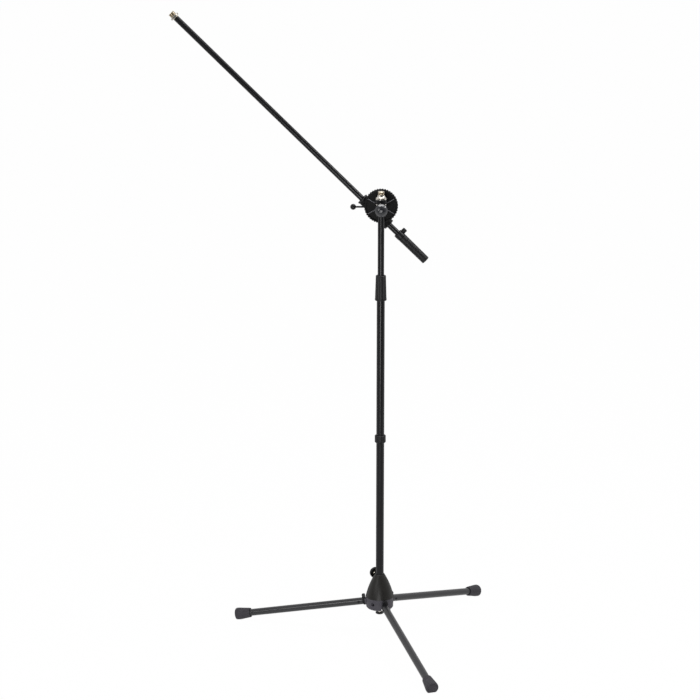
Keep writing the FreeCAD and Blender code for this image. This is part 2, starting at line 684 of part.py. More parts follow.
def disc_ribs(bottom, top):
    """Radial ribs between the boss and the rim."""
    half = DISC_RIB_WIDTH / 2
    rib = slab((DISC_BOSS_R - 1, -half, bottom), (DISC_RIM_INNER_R + 1, half, top))
    return around(rib, DISC_RIBS, 180.0 / DISC_RIBS)


def front_disc():
    """Disc fixed to the head: open dished face with boss and ribs towards the front."""
    front = FRONT_DISC_Y
    web = front + DISC_RECESS
    blank = toothed_blank(front, front + FRONT_DISC_THICK)
    dish = pipe(DISC_RIM_INNER_R, DISC_BOSS_R, front, web)
    ribs = disc_ribs(front + DISC_RIB_DROP, web)
    bolt_hole = rod(BOLT_R + RUN_FIT, front - 1, front + FRONT_DISC_THICK + 1)
    return placed(blank.cut(dish).fuse(ribs).cut(bolt_hole), clutch_frame())


def friction_pad():
    low = FRONT_DISC_Y + FRONT_DISC_THICK
    return placed(pipe(PAD_OUTER_R, PAD_INNER_R, low, low + PAD_THICK), clutch_frame())


def boom_disc_front():
    return FRONT_DISC_Y + FRONT_DISC_THICK + PAD_THICK + FACE_GAP


def boom_clamp():
    """Disc, saddle, sleeve and screw boss cast in one piece."""
    front = boom_disc_front()
    back = front + BOOM_DISC_THICK
    web = back - BOOM_DISC_RECESS
    disc = toothed_blank(front, back).cut(pipe(DISC_RIM_INNER_R, DISC_BOSS_R, web, back))
    disc = placed(disc.fuse(disc_ribs(web, back - DISC_RIB_DROP)), clutch_frame())
    frame = boom_frame()
    sleeve = placed(rod(SLEEVE_R, -SLEEVE_DOWN, SLEEVE_UP), frame)
    half = SADDLE_HALF_WIDTH
    saddle = slab((-half, web - BOOM_Y, SADDLE_MARGIN - SLEEVE_DOWN), (half, 0, SLEEVE_UP - SADDLE_MARGIN))
    boss = Part.makeCylinder(CLAMP_BOSS_R, CLAMP_BOSS_OUT, V(0, 0, CLAMP_AT), V(0, 1, 0))
    body = disc.fuse([sleeve, placed(saddle, frame), placed(boss, frame)])
    bore = placed(rod(BUSH_R + RUN_FIT, -SLEEVE_DOWN - 1, SLEEVE_UP + 1), frame)
    hole = Part.makeCylinder(CLAMP_SCREW_R + RUN_FIT, CLAMP_BOSS_OUT + 1, V(0, 0, CLAMP_AT), V(0, 1, 0))
    bolt_hole = placed(rod(BOLT_R + SEAT_FIT, front - 1, back + 1), clutch_frame())
    return cut_all(body, [bore, placed(hole, frame), bolt_hole])


def clutch_bolt():
    """Hexagon bolt from the back of the boom disc to inside the knob."""
    back = boom_disc_front() + BOOM_DISC_THICK
    tip = KNOB_FACE_WALL + 1 - HEAD_FRONT - KNOB_WASHER_THICK - KNOB_LENGTH
    corners = [V(BOLT_HEAD_R * math.cos(a), BOLT_HEAD_R * math.sin(a), back)
               for a in (math.radians(60 * i) for i in range(6))]
    head = Part.Face(Part.makePolygon(corners + corners[:1])).extrude(V(0, 0, BOLT_HEAD_THICK))
    return placed(rod(BOLT_R, tip, back + 1).fuse(head), clutch_frame())


def knob_washer():
    low = -HEAD_FRONT - KNOB_WASHER_THICK
    return placed(pipe(KNOB_WASHER_R, BOLT_R + RUN_FIT, low, -HEAD_FRONT), clutch_frame())


def clutch_knob():
    """Round knob: flared back, broad band, bevel and low dome, with shallow finger flutes."""
    back = HEAD_FRONT + KNOB_WASHER_THICK + FACE_GAP
    end = back + KNOB_LENGTH
    band = back + KNOB_BAND_START
    bevel = back + KNOB_BAND_END
    face = bevel + KNOB_BEVEL
    bore = BOLT_R + RUN_FIT
    depth = end - KNOB_FACE_WALL
    flat = KNOB_FACE_R / 4
    solid = turned((bore, back), (KNOB_BACK_R, back), (KNOB_R, band), (KNOB_R, bevel),
                   (KNOB_FACE_R, face), ((KNOB_FACE_R * 0.6, end - 1.2), (flat, end)), (0, end),
                   (0, depth), (bore, depth))
    flip = FreeCAD.Placement(V(0, 0, 0), FreeCAD.Rotation(V(1, 0, 0), 180))
    return placed(placed(solid, flip), clutch_frame())


# Boom clamp fittings

def boom_bush(upper):
    """Flanged bush in one end of the sleeve, running on the boom."""
    bore = BOOM_R + RUN_FIT
    end = SLEEVE_UP if upper else SLEEVE_DOWN
    start = end - BUSH_DEPTH
    lip = end + FACE_GAP
    top = lip + BUSH_LIP_THICK
    bush = turned((bore, start), (BUSH_R, start), (BUSH_R, lip), (BUSH_LIP_R, lip),
                  (BUSH_LIP_R, top - 0.6), (BUSH_LIP_R - 0.6, top), (bore, top))
    if not upper:
        bush = placed(bush, FreeCAD.Placement(V(0, 0, 0), FreeCAD.Rotation(V(1, 0, 0), 180)))
    return placed(bush, boom_frame())


def clamp_screw():
    low = BOOM_R + 2 * FACE_GAP
    return placed(rod(CLAMP_SCREW_R, low, CLAMP_BOSS_OUT + FACE_GAP + LEVER_HUB_THICK - 1), lever_frame())


def lever_plane():
    """Distance of the lever's arm behind the boom's axis."""
    return CLAMP_BOSS_OUT + FACE_GAP + LEVER_HUB_THICK / 2


def clamp_lever():
    """Round hub on the screw and a thin arm that ends inside the ball."""
    low = CLAMP_BOSS_OUT + FACE_GAP
    high = low + LEVER_HUB_THICK
    hub = turned((0, high - 1), (0, high), (LEVER_HUB_R - 1, high), (LEVER_HUB_R, high - 1),
                 (LEVER_HUB_R, low), (CLAMP_SCREW_R + SEAT_FIT, low),
                 (CLAMP_SCREW_R + SEAT_FIT, high - 1))
    start = LEVER_HUB_R - 1.5
    arm = Part.makeCylinder(LEVER_STEM_R, LEVER_ARM - start, V(start, 0, lever_plane()), V(1, 0, 0))
    return placed(hub.fuse(arm), lever_frame())


def lever_ball():
    centre = V(LEVER_ARM, 0, lever_plane())
    ball = Part.makeSphere(BALL_R, centre)
    socket = Part.makeCylinder(LEVER_STEM_R + SEAT_FIT, BALL_R + 1, centre, V(-1, 0, 0))
    return placed(ball.cut(socket), lever_frame())


# Boom

def boom_tube():
    """Boom tube, with the hole that the thumbscrew reaches."""
    return placed(pipe(BOOM_R, BOOM_R - BOOM_WALL, BOOM_REAR_AT, BOOM_TIP_AT), boom_frame())


def tip_stud():
    """Threaded stud at the tip, on a plug inside the tube."""
    plug = BOOM_R - BOOM_WALL - SEAT_FIT
    end = BOOM_TIP_AT
    relief = end + TIP_RING_AT + TIP_RING_THICK
    top = end + TIP_STUD_LENGTH
    stud = turned((0, end - TIP_PLUG_DEPTH), (plug, end - TIP_PLUG_DEPTH), (plug, end), (STUD_CORE_R, end),
                  (STUD_CORE_R, relief - 0.3), (STUD_R, relief + 0.1), (STUD_R, top - 0.7),
                  (STUD_R - 0.7, top), (0, top))
    return placed(stud, boom_frame())


def tip_lock_ring():
    low = BOOM_TIP_AT + TIP_RING_AT
    high = low + TIP_RING_THICK
    bore = STUD_CORE_R + RUN_FIT
    ring = turned((bore, low), (TIP_RING_R - 0.6, low), (TIP_RING_R, low + 0.6),
                  (TIP_RING_R, high - 0.6), (TIP_RING_R - 0.6, high), (bore, high - 0.4))
    return placed(cut_all(ring, knurl(TIP_RING_R, low - 1, high + 1)), boom_frame())


def rear_collar():
    """Stop collar with a tapped hole for the thumbscrew."""
    top = REAR_COLLAR_UP_AT
    low = top - REAR_COLLAR_LENGTH
    bore = BOOM_R + SEAT_FIT
    ring = turned((bore, low), (REAR_COLLAR_R, low), (REAR_COLLAR_R, top - 1), (REAR_COLLAR_R - 1, top),
                  (bore, top))
    middle = (low + top) / 2
    hole = Part.makeCylinder(THUMB_SHANK_R + RUN_FIT, REAR_COLLAR_R + 1, V(0, 0, middle), V(1, 0, 0))
    return placed(ring.cut(hole), boom_frame())


def thumb_screw():
    """Fluted thumb head on a shank that stands square to the boom."""
    middle = REAR_COLLAR_UP_AT - REAR_COLLAR_LENGTH / 2
    screw = turned((0, BOOM_R + FACE_GAP), (THUMB_SHANK_R, BOOM_R + FACE_GAP), (THUMB_SHANK_R, THUMB_BASE),
                   (THUMB_R, THUMB_BASE), (THUMB_R, THUMB_TOP - 1), (THUMB_R - 1, THUMB_TOP), (0, THUMB_TOP))
    flute = rod(1.1, THUMB_BASE - 1, THUMB_TOP + 1)
    flute.translate(V(THUMB_R + 0.5, 0, 0))
    screw = cut_all(screw, around(flute, THUMB_FLUTES))
    stand = FreeCAD.Placement(V(0, 0, middle), FreeCAD.Rotation(V(0, 1, 0), 90))
    return placed(placed(screw, stand), boom_frame())


def counterweight():
    """Steel slug with a blind socket for the end of the boom tube."""
    top = HANDLE_UP_AT - 1
    low = top - WEIGHT_LENGTH
    bore = BOOM_R + SEAT_FIT
    seat = BOOM_REAR_AT - FACE_GAP
    slug = turned((0, low), (WEIGHT_R, low), (WEIGHT_R, top), (bore, top), (bore, seat), (0, seat))
    return placed(slug, boom_frame())


def handle_grip():
    """Rubber grip over the counterweight, slightly tapered, closed at its end."""
    top = HANDLE_UP_AT
    bore = WEIGHT_R + SEAT_FIT
    floor = top - 1 - WEIGHT_LENGTH - FACE_GAP
    low = floor - HANDLE_END_WALL
    mouth = BOOM_R + SEAT_FIT
    ceiling = top - 1 + FACE_GAP
    grip = turned((0, low), (HANDLE_END_R - 1, low), (HANDLE_END_R, low + 1), (HANDLE_UP_R, top - 1),
                  (HANDLE_UP_R - 1, top), (mouth, top), (mouth, ceiling), (bore, ceiling),
                  (bore, floor), (0, floor))
    return placed(grip, boom_frame())


def pieces():
    """Every piece of the stand under its name."""
    shapes = {"hub_base": hub_base(), "hub_cone": hub_cone(), "hub_knob": hub_knob(),
              "hub_knob_bolt": hub_knob_bolt()}
    for number, azimuth in enumerate(LEG_AZIMUTHS, 1):
        for make in (leg_pin, leg_knuckle, leg_stop_plate, leg_tube, leg_rivet, leg_foot):
            shapes[f"{make.__name__}_{number}"] = make(azimuth)
    shapes["lower_tube_bottom"] = lower_tube(LOWER_BOTTOM_Z, LOWER_JOINT_Z)
    shapes["lower_tube_top"] = lower_tube(LOWER_JOINT_Z, LOWER_TOP_Z)
    for make in (joint_collar, mast_end_plug, stop_disc, clutch_sleeve, clutch_collet, clutch_grip,
                 upper_tube, mast_head, top_stud, head_collar, head_washer, top_lock_ring, front_disc,
                 friction_pad, knob_washer, clutch_knob, boom_clamp, clutch_bolt, clamp_screw,
                 clamp_lever, lever_ball, boom_tube, tip_stud, tip_lock_ring, rear_collar, thumb_screw,
                 counterweight, handle_grip):
        shapes[make.__name__] = make()
    shapes["boom_bush_upper"] = boom_bush(True)
    shapes["boom_bush_lower"] = boom_bush(False)
    return shapes


def main():
    os.makedirs("parts", exist_ok=True)
    for name, shape in pieces().items():
        solids = shape.Solids
        if len(solids) != 1 or not solids[0].isValid():
            raise ValueError(f"{name}: {len(solids)} solids")
        solids[0].exportStep(f"parts/{name}.step")
        print(f"{name}: {solids[0].Volume / 1000:.2f} cm3, {len(solids[0].Faces)} faces")


main()
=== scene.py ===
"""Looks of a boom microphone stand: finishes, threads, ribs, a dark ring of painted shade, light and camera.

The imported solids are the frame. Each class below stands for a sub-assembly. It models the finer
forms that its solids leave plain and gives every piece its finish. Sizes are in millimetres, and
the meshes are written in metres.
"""
from __future__ import annotations

import json
import logging
import math
from collections.abc import Callable, Iterable, Sequence
from dataclasses import dataclass, field
from enum import Enum
from typing import Any

import bmesh
import bpy
from mathutils import Matrix, Vector

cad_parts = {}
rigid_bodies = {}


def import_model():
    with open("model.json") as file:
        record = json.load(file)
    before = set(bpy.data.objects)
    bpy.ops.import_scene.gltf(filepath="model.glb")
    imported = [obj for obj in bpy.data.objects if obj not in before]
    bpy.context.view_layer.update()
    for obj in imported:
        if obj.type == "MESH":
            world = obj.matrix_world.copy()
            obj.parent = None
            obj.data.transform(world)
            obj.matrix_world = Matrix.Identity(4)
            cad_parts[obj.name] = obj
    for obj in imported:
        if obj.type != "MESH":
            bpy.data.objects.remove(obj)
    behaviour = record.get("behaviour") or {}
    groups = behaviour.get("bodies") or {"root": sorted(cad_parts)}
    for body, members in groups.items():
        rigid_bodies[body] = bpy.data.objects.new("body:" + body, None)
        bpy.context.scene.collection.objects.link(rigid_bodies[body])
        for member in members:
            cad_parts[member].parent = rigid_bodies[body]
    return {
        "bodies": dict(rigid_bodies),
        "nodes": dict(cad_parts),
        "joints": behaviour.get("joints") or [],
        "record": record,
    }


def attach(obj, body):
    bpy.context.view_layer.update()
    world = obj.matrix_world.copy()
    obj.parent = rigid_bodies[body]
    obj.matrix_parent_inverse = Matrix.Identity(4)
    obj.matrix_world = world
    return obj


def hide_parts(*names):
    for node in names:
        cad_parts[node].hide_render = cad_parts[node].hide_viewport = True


LOG = logging.getLogger("boom_stand")
MM = 0.001
PHOTO_SIDE = 700
RIM_FROM, RIM_TO = 0.45, 0.9  # how far a surface turns away while its reflection fades
DRIFT_LOW, DRIFT_HIGH = 0.35, 0.65  # noise levels between which one colour passes into the other

Profile = Sequence[tuple[float, float]]
Shaper = Callable[[float, float, float], float]


def hex_to_linear(code: str) -> tuple[float, float, float, float]:
    """Turn an sRGB hex colour into linear values with full alpha.

    Args:
        code: Six hex digits with a leading hash.

    Returns:
        Linear red, green and blue, and 1 for alpha.
    """
    channels = []
    for start in (1, 3, 5):
        value = int(code[start:start + 2], 16) / 255
        channels.append(value / 12.92 if value <= 0.04045 else ((value + 0.055) / 1.055) ** 2.4)
    return channels[0], channels[1], channels[2], 1.0


def add_node(tree: bpy.types.NodeTree, kind: str, values: dict[str | int, Any] | None = None,
             links: dict[str | int, bpy.types.NodeSocket] | None = None,
             **settings: Any) -> bpy.types.Node:
    """Add one node with its settings, input values and incoming links.

    Args:
        tree: The node tree that gets the node.
        kind: The node's type name.
        values: Input socket to the value it is set to.
        links: Input socket to the output socket that feeds it.
        settings: Properties of the node itself.

    Returns:
        The new node.
    """
    node = tree.nodes.new(kind)
    for key, value in settings.items():
        setattr(node, key, value)
    for key, value in (values or {}).items():
        node.inputs[key].default_value = value
    for key, source in (links or {}).items():
        tree.links.new(source, node.inputs[key])
    return node


class Relief(Enum):
    """The fine relief that a way of making leaves on a surface."""

    PEBBLED = "pebbled"
    TURNED = "turned"
    SPECKLED = "speckled"


@dataclass(frozen=True)
class Finish:
    """One real material with the way its surface was made.

    Attributes:
        name: The material's common name and how its surface was made.
        colour: Main colour, sRGB hex.
        shade: Second colour that drifts through the main one, sRGB hex.
        drift_mm: Size of the colour's drift.
        roughness: Least and greatest roughness.
        relief: Kind of fine relief.
        relief_mm: Distance between the relief's bumps.
        relief_depth_mm: Height of the bumps.
        metallic: 1 for bare metal, else 0.
        ior: Index of refraction. A metal keeps the default.
        specular: Strength of the reflection of a non-metal.
        rim: Share of that strength left where the surface turns away from the eye, because
            the relief breaks up a grazing reflection.
    """

    name: str
    colour: str
    shade: str
    drift_mm: float
    roughness: tuple[float, float]
    relief: Relief
    relief_mm: float
    relief_depth_mm: float
    metallic: float = 0.0
    ior: float = 1.5
    specular: float = 0.5
    rim: float = 1.0

    def build(self) -> bpy.types.Material:
        """Make the material's node tree.

        Returns:
            The finished material.
        """
        material = bpy.data.materials.new(self.name)
        material.use_nodes = True
        tree = material.node_tree
        shader = tree.nodes["Principled BSDF"]
        shader.inputs["Metallic"].default_value = self.metallic
        shader.inputs["IOR"].default_value = self.ior
        shader.inputs["Specular IOR Level"].default_value = self.specular
        if self.rim < 1.0:
            facing = add_node(tree, "ShaderNodeLayerWeight", {"Blend": 0.5}).outputs["Facing"]
            fall = add_node(tree, "ShaderNodeMapRange",
                            {"From Min": RIM_FROM, "From Max": RIM_TO, "To Min": self.specular,
                             "To Max": self.specular * self.rim}, {"Value": facing})
            tree.links.new(fall.outputs["Result"], shader.inputs["Specular IOR Level"])
        place = add_node(tree, "ShaderNodeTexCoord").outputs["Object"]
        drift = add_node(tree, "ShaderNodeTexNoise", {"Scale": 1000 / self.drift_mm, "Detail": 3.0},
                         {"Vector": place})
        spread = add_node(tree, "ShaderNodeMapRange", {"From Min": DRIFT_LOW, "From Max": DRIFT_HIGH},
                          {"Value": drift.outputs["Fac"]})
        colours = {"A": hex_to_linear(self.colour), "B": hex_to_linear(self.shade)}
        mix = add_node(tree, "ShaderNodeMix", data_type="RGBA")
        for socket in mix.inputs:
            if socket.type == "RGBA":
                socket.default_value = colours[socket.name]
        tree.links.new(spread.outputs["Result"], mix.inputs["Factor"])
        blend = next(socket for socket in mix.outputs if socket.type == "RGBA")
        tree.links.new(blend, shader.inputs["Base Color"])
        rough = add_node(tree, "ShaderNodeMapRange",
                         {"From Min": 0.3, "From Max": 0.7, "To Min": self.roughness[0],
                          "To Max": self.roughness[1]},
                         {"Value": drift.outputs["Fac"]})
        tree.links.new(rough.outputs["Result"], shader.inputs["Roughness"])
        bump = add_node(tree, "ShaderNodeBump", {"Strength": 1.0, "Distance": self.relief_depth_mm * MM},
                        {"Height": self._relief_height(tree, place)})
        tree.links.new(bump.outputs["Normal"], shader.inputs["Normal"])
        return material

    def _relief_height(self, tree: bpy.types.NodeTree,
                       place: bpy.types.NodeSocket) -> bpy.types.NodeSocket:
        """Make the height pattern of the relief.

        Args:
            tree: The material's node tree.
            place: Object coordinates.

        Returns:
            The socket that carries the height.
        """
        scale = 1000 / self.relief_mm
        if self.relief is Relief.TURNED:
            # Lathe marks: stretched along the circumference, so close rings show across the axis
            stretch = add_node(tree, "ShaderNodeMapping", {"Scale": (0.12, 0.12, 1.0)}, {"Vector": place})
            marks = add_node(tree, "ShaderNodeTexNoise", {"Scale": scale, "Detail": 2.0},
                             {"Vector": stretch.outputs["Vector"]})
            return marks.outputs["Fac"]
        if self.relief is Relief.SPECKLED:
            specks = add_node(tree, "ShaderNodeTexVoronoi", {"Scale": scale}, {"Vector": place})
            return specks.outputs["Distance"]
        pebbles = add_node(tree, "ShaderNodeTexNoise", {"Scale": scale, "Detail": 4.0, "Roughness": 0.6},
                           {"Vector": place})
        return pebbles.outputs["Fac"]


# Steel tube under satin powder coat: the cured powder's orange peel softens the highlight
POWDER_COAT = Finish("satin_powder_coated_steel", "#0F0F11", "#141416", 120.0, (0.24, 0.30),
                     Relief.PEBBLED, 1.6, 0.01, specular=0.22, rim=0.05)
# Legs: the same coat, made glossier so that it mirrors the pale floor, and painted lighter than the mast's
# coat as painted light from the floor's bounce
LEG_COAT = Finish("floor_lit_powder_coated_steel", "#1E1E20", "#242427", 120.0, (0.22, 0.28),
                  Relief.PEBBLED, 1.6, 0.008, specular=0.45, rim=0.5)
# The same coat on turned and cast fittings is a little thinner and darker
FITTING_PAINT = Finish("satin_painted_steel", "#111113", "#161618", 30.0, (0.32, 0.42),
                       Relief.PEBBLED, 1.1, 0.02, specular=0.2, rim=0.05)
# Die-cast zinc under thin paint: the casting's skin shows as soft pits; the colour is painted greyer than the
# cone's, as painted reflection of the pale floor on the upright faces
CAST_PAINT = Finish("floor_lit_painted_zinc_die_casting", "#3A383F", "#434147", 25.0, (0.42, 0.52),
                    Relief.SPECKLED, 1.8, 0.04, specular=0.25, rim=0.3)
# Matte black paint on the discs takes nearly all light
DISC_PAINT = Finish("matte_painted_zinc_casting", "#0F0F10", "#131314", 18.0, (0.5, 0.6),
                    Relief.SPECKLED, 1.2, 0.03, specular=0.12, rim=0.05)
# The crests of the dished disc's ribs are coloured greyer than the disc
RIB_PAINT = Finish("grey_crested_painted_zinc_casting", "#4C4C50", "#57575B", 9.0, (0.35, 0.45),
                   Relief.SPECKLED, 1.2, 0.02, specular=0.3)
# ABS moulded in an eroded tool: even fine grain, warm black
GRAINED_ABS = Finish("eroded_moulded_abs", "#181715", "#1D1C1A", 40.0, (0.36, 0.44),
                     Relief.PEBBLED, 0.9, 0.02, specular=0.22, rim=0.05)
# Polyamide knobs: smoother mould, so the dome keeps a broad soft highlight
KNOB_NYLON = Finish("satin_moulded_nylon", "#1B1C20", "#212227", 20.0, (0.2, 0.26),
                    Relief.PEBBLED, 0.8, 0.005, specular=0.6)
# The clamp knob at the hub has the same make in plain black
CUP_NYLON = Finish("black_moulded_nylon", "#0B0B0C", "#0F0F10", 20.0, (0.36, 0.44),
                   Relief.PEBBLED, 0.8, 0.01, specular=0.12, rim=0.05)
# Polished phenolic ball: the only glossy plastic on the stand
BALL_PHENOLIC = Finish("polished_phenolic", "#0C0C0E", "#111113", 10.0, (0.14, 0.2),
                       Relief.PEBBLED, 0.8, 0.004, specular=0.25, rim=0.2)
# Acetal sleeves and bushes have a smooth, slightly waxy skin
BUSH_ACETAL = Finish("moulded_acetal", "#151517", "#1A1A1C", 15.0, (0.32, 0.42),
                     Relief.PEBBLED, 0.8, 0.012, ior=1.48, specular=0.22, rim=0.1)
# Grips: butyl rubber with a dusty bloom that lifts the colour
GRIP_RUBBER = Finish("bloomed_moulded_rubber", "#131315", "#18181A", 22.0, (0.40, 0.50),
                     Relief.PEBBLED, 0.7, 0.02, ior=1.52, specular=0.22, rim=0.1)
# Feet: a harder, greyer rubber
FOOT_RUBBER = Finish("dull_moulded_rubber", "#2C2A2F", "#353338", 16.0, (0.5, 0.62),
                     Relief.PEBBLED, 0.9, 0.04, ior=1.52, specular=0.25, rim=0.2)
# Bright nickel plate on turned steel: faint lathe rings under a clean mirror
NICKEL = Finish("nickel_plated_turned_steel", "#CFCBC4", "#BDB9B2", 8.0, (0.16, 0.26),
                Relief.TURNED, 0.5, 0.006, metallic=1.0)
# Yellow chromate over zinc gives the studs their pale tan
TAN_ZINC = Finish("yellow_chromated_turned_steel", "#BCB3A3", "#A89D89", 6.0, (0.22, 0.32),
                  Relief.TURNED, 0.5, 0.006, metallic=1.0)
# Zinc-plated screws are duller than the nickel
SCREW_ZINC = Finish("zinc_plated_steel", "#8A8A90", "#77777C", 5.0, (0.3, 0.42),
                    Relief.TURNED, 0.5, 0.008, metallic=1.0)
# Mild steel slug, turned and oiled
SLUG_STEEL = Finish("turned_mild_steel", "#6E6E72", "#5E5E62", 12.0, (0.35, 0.45),
                    Relief.TURNED, 0.6, 0.01, metallic=1.0)
# Pressed fibre: woolly and without gloss
PAD_FIBRE = Finish("pressed_friction_fibre", "#3A3632", "#4A453F", 3.0, (0.85, 0.95),
                   Relief.SPECKLED, 0.8, 0.08, specular=0.2)


class Paintbox:
    """Builds each finish once and gives it to pieces."""

    def __init__(self) -> None:
        """Start with no material built."""
        self._made: dict[str, bpy.types.Material] = {}

    def dress(self, piece: bpy.types.Object, finish: Finish) -> None:
        """Give a piece its finish.

        Args:
            piece: The mesh object.
            finish: What it is made of.
        """
        if finish.name not in self._made:
            self._made[finish.name] = finish.build()
        piece.data.materials.clear()
        piece.data.materials.append(self._made[finish.name])


@dataclass(frozen=True)
class Joint:
    """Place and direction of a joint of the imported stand, in metres."""

    place: Vector
    axis: Vector

    def frame(self, along: Vector | None = None) -> Matrix:
        """Make a local frame at the joint.

        Args:
            along: Direction of local Z, if it isn't the joint's own axis. The joint's axis is
                then local Y.

        Returns:
            The matrix that carries local coordinates to the stand's frame.
        """
        up = (along or self.axis).normalized()
        side = self.axis.normalized() if along else Vector((0.0, 1.0, 0.0))
        if abs(side.dot(up)) > 0.99:
            side = Vector((-1.0, 0.0, 0.0))
        across = side.cross(up).normalized()
        side = up.cross(across)
        turn = Matrix((across, side, up)).transposed().to_4x4()
        return Matrix.Translation(self.place) @ turn


class Stand:
    """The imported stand: its nodes, joints and finishes in one place."""

    def __init__(self) -> None:
        """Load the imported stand."""
        self.frame: dict[str, Any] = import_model()
        self.paint = Paintbox()
        self.nodes: dict[str, bpy.types.Object] = self.frame["nodes"]

    def joint(self, name: str) -> Joint:
        """Look up a joint.

        Args:
            name: The joint's name in the record.

        Returns:
            Its place and axis.
        """
        row = next(j for j in self.frame["joints"] if j["name"] == name)
        return Joint(Vector(row.get("pos_m", (0.0, 0.0, 0.0))), Vector(row["axis"]))

    def dress(self, finish: Finish, *nodes: str) -> None:
        """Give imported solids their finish.

        Args:
            finish: What they are made of.
            nodes: Their names.
        """
        for node in nodes:
            self.paint.dress(self.nodes[node], finish)
            LOG.info("%s: %s", node, finish.name)

    def add(self, piece: bpy.types.Object, body: str, slot: str, finish: Finish,
            replaces: Iterable[str] = ()) -> bpy.types.Object:
        """Take a modelled piece into the stand.

        Args:
            piece: The new mesh object.
            body: The body it moves with.
            slot: The record's material slot; not used.
            finish: What it is made of.
            replaces: Solids that it stands for.

        Returns:
            The piece.
        """
        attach(piece, body)
        if replaces:
            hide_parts(*replaces)
        self.paint.dress(piece, finish)
        LOG.info("%s: %d faces, %s", piece.name, len(piece.data.polygons), finish.name)
        return piece


def steady(_angle: float, radius: float, _height: float) -> float:
    """Keep the profile's own radius all round."""
    return radius


def revolve(name: str, profile: Profile, frame: Matrix, segments: int = 96,
            shape: Shaper = steady, floor: bool = False, sharp: float = 32.0) -> bpy.types.Object:
    """Turn a profile about local Z into a mesh.

    Args:
        name: The piece's name.
        profile: Radius and height pairs in millimetres. A zero radius closes an end.
        frame: Local frame of the piece.
        segments: Steps round the axis.
        shape: Gives the radius at an angle, profile radius and height.
        floor: Whether what falls below the floor is flattened onto it.
        sharp: Angle in degrees from which an edge stays sharp.

    Returns:
        The mesh object.
    """
    mesh = bmesh.new()
    rings: list[list[bmesh.types.BMVert]] = []
    for radius, height in profile:
        if radius == 0:
            rings.append([mesh.verts.new((0.0, 0.0, height * MM))])
            continue
        ring = []
        for step in range(segments):
            angle = 2 * math.pi * step / segments
            reach = shape(angle, radius, height) * MM
            ring.append(mesh.verts.new((reach * math.cos(angle), reach * math.sin(angle), height * MM)))
        rings.append(ring)
    for low, high in zip(rings, rings[1:]):
        for step in range(segments):
            after = (step + 1) % segments
            corners = [low[step % len(low)], low[after % len(low)],
                       high[after % len(high)], high[step % len(high)]]
            unique = list(dict.fromkeys(corners))
            if len(unique) > 2:
                mesh.faces.new(unique)
    bmesh.ops.transform(mesh, matrix=frame, verts=mesh.verts[:])
    if floor:
        for vert in mesh.verts:
            vert.co.z = max(vert.co.z, 0.0)
    bmesh.ops.recalc_face_normals(mesh, faces=mesh.faces[:])
    return finish_mesh(name, mesh, sharp)


def finish_mesh(name: str, mesh: bmesh.types.BMesh, sharp: float) -> bpy.types.Object:
    """Turn a worked mesh into an object with smooth sides and crisp edges.

    Args:
        name: The object's name.
        mesh: The worked mesh, which is freed.
        sharp: Angle in degrees from which an edge stays sharp.

    Returns:
        The object, linked to the scene.
    """
    data = bpy.data.meshes.new(name)
    mesh.to_mesh(data)
    mesh.free()
    data.shade_smooth()
    data.set_sharp_from_angle(angle=math.radians(sharp))
    piece = bpy.data.objects.new(name, data)
    bpy.context.scene.collection.objects.link(piece)
    return piece


def rounded(start: tuple[float, float], corner: tuple[float, float], end: tuple[float, float],
            steps: int = 5) -> list[tuple[float, float]]:
    """Round a corner of a profile.

    Args:
        start: Point where the rounding starts.
        corner: The sharp corner.
        end: Point where it ends.
        steps: Number of pieces in the curve.

    Returns:
        The points of the curve, both ends included.
    """
    points = []
    for step in range(steps + 1):
        t = step / steps
        weights = ((1 - t) ** 2, 2 * t * (1 - t), t * t)
        points.append(tuple(sum(w * p[i] for w, p in zip(weights, (start, corner, end)))
                            for i in range(2)))
    return points


@dataclass(frozen=True)
class Thread:
    """A fine external thread.

    Attributes:
        crest_mm: Radius over the crests.
        pitch_mm: Rise of one turn.
        depth_mm: Depth of the grooves.
        low_mm: Where the thread starts, along the axis.
        high_mm: Where it ends.
        rings_per_turn: Rings of the mesh in one turn.
        flank: How steep the grooves' sides are.
        fade_mm: Length over which the grooves run out at each end.
    """

    crest_mm: float
    pitch_mm: float
    depth_mm: float
    low_mm: float
    high_mm: float
    rings_per_turn: int = 8
    flank: float = 1.6
    fade_mm: float = 0.5

    def heights(self) -> list[float]:
        """Give the heights of the rings that the thread's mesh needs."""
        count = round((self.high_mm - self.low_mm) / self.pitch_mm * self.rings_per_turn)
        return [self.low_mm + (self.high_mm - self.low_mm) * i / count for i in range(count + 1)]

    def shape(self, angle: float, radius: float, height: float) -> float:
        """Give the thread's radius at an angle and height; elsewhere the profile's own."""
        if not self.low_mm <= height <= self.high_mm:
            return radius
        phase = (height / self.pitch_mm - angle / (2 * math.pi)) % 1.0
        groove = min(1.0, self.flank * abs(2 * phase - 1))
        fade = min(1.0, (height - self.low_mm) / self.fade_mm, (self.high_mm - height) / self.fade_mm)
        return self.crest_mm - self.depth_mm * (1 - groove) * max(0.0, fade)


